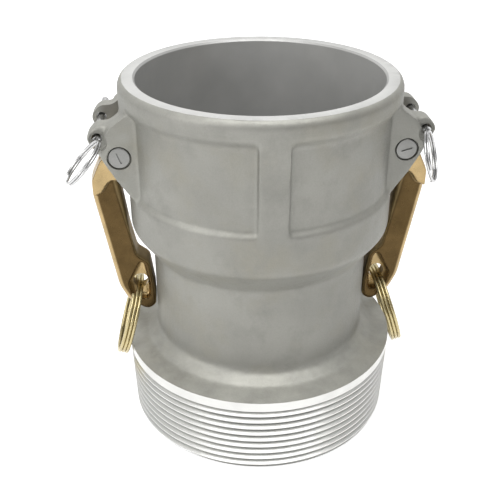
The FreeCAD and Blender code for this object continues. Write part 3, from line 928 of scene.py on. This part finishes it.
def hanging_plane(side, lean, twist):
    """Unit vectors down the slope of a hanging ring and across its plane."""
    down = Vector((side * math.sin(lean), 0, -math.cos(lean)))
    across = Vector((-math.sin(twist), -math.cos(twist), 0))
    across = (across - down * across.dot(down)).normalized()
    return down, across


def box_middle(node):
    """The middle of a frame node's box, in metres."""
    low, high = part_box(node)
    return (low + high) / 2


class COUPLER_OT_finger_rings(bpy.types.Operator):
    """Wind the two gold finger rings through the tips of the arms"""
    bl_idname = "coupler.finger_rings"
    bl_label = "Finger Rings"

    def execute(self, context):
        size = context.scene.coupler_rings
        gold = plated("gold_ring", size.gold, 0.26, 0.85)
        first_angles = {"left": -60, "right": -115}
        for name, side in SIDES:
            centre = box_middle(f"{name}_finger_ring")
            hole = Vector((side * RING_HOLE.x, 0, RING_HOLE.z))
            down = (centre - hole).normalized()
            across = Vector((0, -1, 0))
            ring = coil(mm(size.finger_radius), mm(size.finger_wire), size.finger_turns,
                        math.radians(first_angles[name]))
            ring = gathered([hang(ring, centre / MM, down, across)])
            finished(ring, f"{name}_split_ring", f"{name}_pull_ring", f"{name}_finger_ring",
                     [gold], sharp=math.radians(50))
        return {"FINISHED"}


def safety_pin(size, side, lean):
    """A split pin along Y about the origin: eye towards -Y, legs towards +Y, the lower one spread."""
    radius = mm(size.pin)
    eye = mm(size.pin_eye)
    eye_wire = mm(size.pin_eye_wire)
    reach = -mm(LOCK.y)
    start = eye - reach - 0.3
    neck_length = 3.2
    long_leg_end = 28.0
    short_leg_end = 21.0
    spread = 34.0
    loop = bmesh.new()
    bmesh.ops.create_circle(loop, cap_ends=False, segments=14, radius=eye_wire)
    bmesh.ops.rotate(loop, verts=loop.verts, matrix=Matrix.Rotation(math.radians(90), 3, "X"))
    bmesh.ops.translate(loop, vec=(eye, 0, 0), verts=loop.verts)
    bmesh.ops.spin(loop, geom=loop.verts[:] + loop.edges[:], axis=(0, 0, 1), angle=FULL_TURN,
                   steps=48, use_merge=True)
    bmesh.ops.recalc_face_normals(loop, faces=loop.faces)
    down, across = hanging_plane(side, lean, 0.0)
    hang(loop, Vector((0, -reach, 0)), across.cross(down) * -1, across)
    legs = [leg(radius, 1, start, long_leg_end - start, 0.0),
            leg(radius, -1, start, short_leg_end - start, spread)]
    neck_end = -start - neck_length
    neck_start = 0.2 - start
    neck = along_y(turned([
        (0, neck_end), (radius, neck_end, 0.3), (radius, neck_start, 0.8), (0, neck_start),
    ], steps=40), 0, 0)
    return loop, legs, neck


def leg(radius, upper, start, reach, spread):
    """One half-round leg, the upper (1) or lower (-1), its last part bent away if it has a spread."""
    gap = 0.08
    bm = bmesh.new()
    bmesh.ops.create_circle(bm, cap_ends=True, segments=24, radius=radius)
    bmesh.ops.bisect_plane(bm, geom=bm.verts[:] + bm.edges[:] + bm.faces[:], plane_co=(0, upper * gap, 0),
                           plane_no=(0, -upper, 0), clear_outer=True)
    bmesh.ops.rotate(bm, verts=bm.verts, matrix=Matrix.Rotation(math.radians(90), 3, "X"))
    bmesh.ops.translate(bm, vec=(0, start, 0), verts=bm.verts)
    tip = bm.faces[:]
    bends = 8 if spread else 1
    bent_from = start + reach * (0.86 if spread else 0.98)
    tip = pulled(bm, tip, Vector((0, bent_from - start, 0)), 0)
    each = (start + reach - bent_from) / bends
    heading = 0.0
    for _ in range(bends):
        heading += math.radians(spread) / bends
        step = Vector((0, math.cos(heading) * each, upper * math.sin(heading) * each))
        tip = pulled(bm, tip, step, upper * math.radians(spread) / bends)
    bmesh.ops.recalc_face_normals(bm, faces=bm.faces)
    return bm


def pulled(bm, tip, step, bend):
    """Draw the end face of a leg forward by one step, turning it a little."""
    grown = bmesh.ops.extrude_face_region(bm, geom=tip)["geom"]
    verts = [item for item in grown if isinstance(item, bmesh.types.BMVert)]
    faces = [item for item in grown if isinstance(item, bmesh.types.BMFace)]
    centre = sum((vert.co for vert in verts), Vector()) / len(verts)
    bmesh.ops.rotate(bm, cent=centre, verts=verts, matrix=Matrix.Rotation(bend, 3, "X"))
    bmesh.ops.translate(bm, vec=step, verts=verts)
    return faces


class COUPLER_OT_safety_pins(bpy.types.Operator):
    """Fold the two safety pins and wind their rings"""
    bl_idname = "coupler.safety_pins"
    bl_label = "Safety Pins"

    def execute(self, context):
        size = context.scene.coupler_rings
        steel = bright_steel("bright_steel", size.steel, 0.2)
        first_angles = {"left": 110, "right": 60}
        for name, side in SIDES:
            lean = getattr(size, f"{name}_lean")
            twist = getattr(size, f"{name}_twist")
            loop, legs, neck = safety_pin(size, side, lean)
            pin = gathered([legs[0]])
            for part in (legs[1], neck, loop):
                machined(pin, "UNION", gathered([part]))
            pin.data.transform(Matrix.Translation((side * mm(LOCK.x), 0, mm(LOCK.z))))
            finished(pin, f"{name}_split_pin", f"{name}_pin", f"{name}_safety_pin",
                     [steel])
            down, across = hanging_plane(side, lean, twist)
            ring = coil(mm(size.safety_radius), mm(size.safety_wire), size.safety_turns,
                        math.radians(first_angles[name]))
            ring = gathered([hang(ring, box_middle(f"{name}_safety_ring") / MM, down, across)])
            finished(ring, f"{name}_pin_split_ring", f"{name}_pin_ring", f"{name}_safety_ring",
                     [steel], sharp=math.radians(50))
        return {"FINISHED"}


# ---------------------------------------------------------------- stage
# Name, place, point lit, width, height and power of each lamp, in metres and watts.
LAMPS = (("overhead", (0.0, -0.35, 0.85), (0, 0, 0.06), 0.9, 0.6, 5.4),
         ("front_left", (-0.8, -0.55, 0.45), (0, 0, 0.07), 0.4, 0.6, 3),
         ("behind", (0.0, 0.9, 0.65), (0, 0, 0.08), 0.9, 0.35, 0.8))
TOWARDS_LIGHT = (-0.5, 0.87, 0)


def softbox(name, place, aim, width, height, power):
    """A soft rectangular lamp turned towards a point."""
    lamp = bpy.data.lights.new(name, "AREA")
    lamp.shape = "RECTANGLE"
    lamp.size = width
    lamp.size_y = height
    lamp.energy = power
    box = bpy.data.objects.new(name, lamp)
    box.location = place
    box.rotation_euler = (Vector(aim) - Vector(place)).to_track_quat("-Z", "Y").to_euler()
    bpy.context.scene.collection.objects.link(box)


def studio_walls(dark, bright):
    """White walls all round, darker to the front and right, where the room isn't lit."""
    world = bpy.data.worlds.new("studio")
    world.use_nodes = True
    nodes = world.node_tree.nodes
    links = world.node_tree.links
    lit = nodes.new("ShaderNodeVectorMath")
    lit.operation = "DOT_PRODUCT"
    lit.inputs[1].default_value = TOWARDS_LIGHT
    links.new(nodes.new("ShaderNodeTexCoord").outputs["Generated"], lit.inputs[0])
    fade = nodes.new("ShaderNodeMapRange")
    fade.inputs["From Min"].default_value = -0.9
    fade.inputs["From Max"].default_value = 0.1
    fade.inputs["To Min"].default_value = dark
    fade.inputs["To Max"].default_value = bright
    links.new(lit.outputs["Value"], fade.inputs["Value"])
    links.new(fade.outputs["Result"], nodes["Background"].inputs["Strength"])
    nodes["Background"].inputs["Color"].default_value = (1, 1, 1, 1)
    return world


class COUPLER_OT_stage(bpy.types.Operator):
    """Lay the floor and set the lights and the camera"""
    bl_idname = "coupler.stage"
    bl_label = "Stage"

    def execute(self, context):
        size = context.scene.coupler_stage
        bm = bmesh.new()
        bmesh.ops.create_grid(bm, x_segments=8, y_segments=8, size=3.0)
        mesh = bpy.data.meshes.new("studio_floor")
        bm.to_mesh(mesh)
        bm.free()
        mesh.materials.append(floor_paper(size.floor_colour))
        floor = bpy.data.objects.new("studio_floor", mesh)
        context.scene.collection.objects.link(floor)

        context.scene.world = studio_walls(size.dark_wall, size.bright_wall)
        context.scene.view_settings.view_transform = "Standard"
        for lamp in LAMPS:
            softbox(*lamp)

        lens = bpy.data.cameras.new("camera")
        lens.lens = size.lens
        lens.sensor_width = SENSOR
        lens.clip_start = 0.01
        camera = bpy.data.objects.new("camera", lens)
        flat = math.cos(size.elevation)
        away = Vector((math.sin(size.azimuth) * flat, -math.cos(size.azimuth) * flat,
                       math.sin(size.elevation)))
        camera.location = Vector(size.aim) + away * size.distance
        camera.rotation_euler = (-away).to_track_quat("-Z", "Y").to_euler()
        context.scene.collection.objects.link(camera)
        context.scene.camera = camera
        return {"FINISHED"}


# ---------------------------------------------------------------- panel and registration
PIECES = (COUPLER_OT_casting, COUPLER_OT_gasket, COUPLER_OT_pivot_pins, COUPLER_OT_arms,
          COUPLER_OT_finger_rings, COUPLER_OT_safety_pins, COUPLER_OT_stage)
SIZES = {"coupler_casting": CouplerCasting, "coupler_thread": CouplerThread, "coupler_arms": CouplerArms,
         "coupler_rings": CouplerRings, "coupler_stage": CouplerStage}


class COUPLER_PT_pieces(bpy.types.Panel):
    """Every piece of the coupler, in the order it is made"""
    bl_idname = "COUPLER_PT_pieces"
    bl_label = "Camlock Coupler"
    bl_space_type = "VIEW_3D"
    bl_region_type = "UI"
    bl_category = "Coupler"

    def draw(self, context):
        for piece in PIECES:
            self.layout.operator(piece.bl_idname)
        for group in SIZES:
            column = self.layout.column(heading=SIZES[group].__doc__)
            for name in SIZES[group].__annotations__:
                column.prop(getattr(context.scene, group), name)


def register():
    for kind in (*SIZES.values(), *PIECES, COUPLER_PT_pieces):
        bpy.utils.register_class(kind)
    for name, group in SIZES.items():
        setattr(bpy.types.Scene, name, PointerProperty(type=group))


def unregister():
    for name in SIZES:
        delattr(bpy.types.Scene, name)
    for kind in (COUPLER_PT_pieces, *reversed(PIECES), *reversed(tuple(SIZES.values()))):
        bpy.utils.unregister_class(kind)


def main():
    register()
    for piece in PIECES:
        family, action = piece.bl_idname.split(".")
        getattr(getattr(bpy.ops, family), action)()


if __name__ == "__main__":
    main()
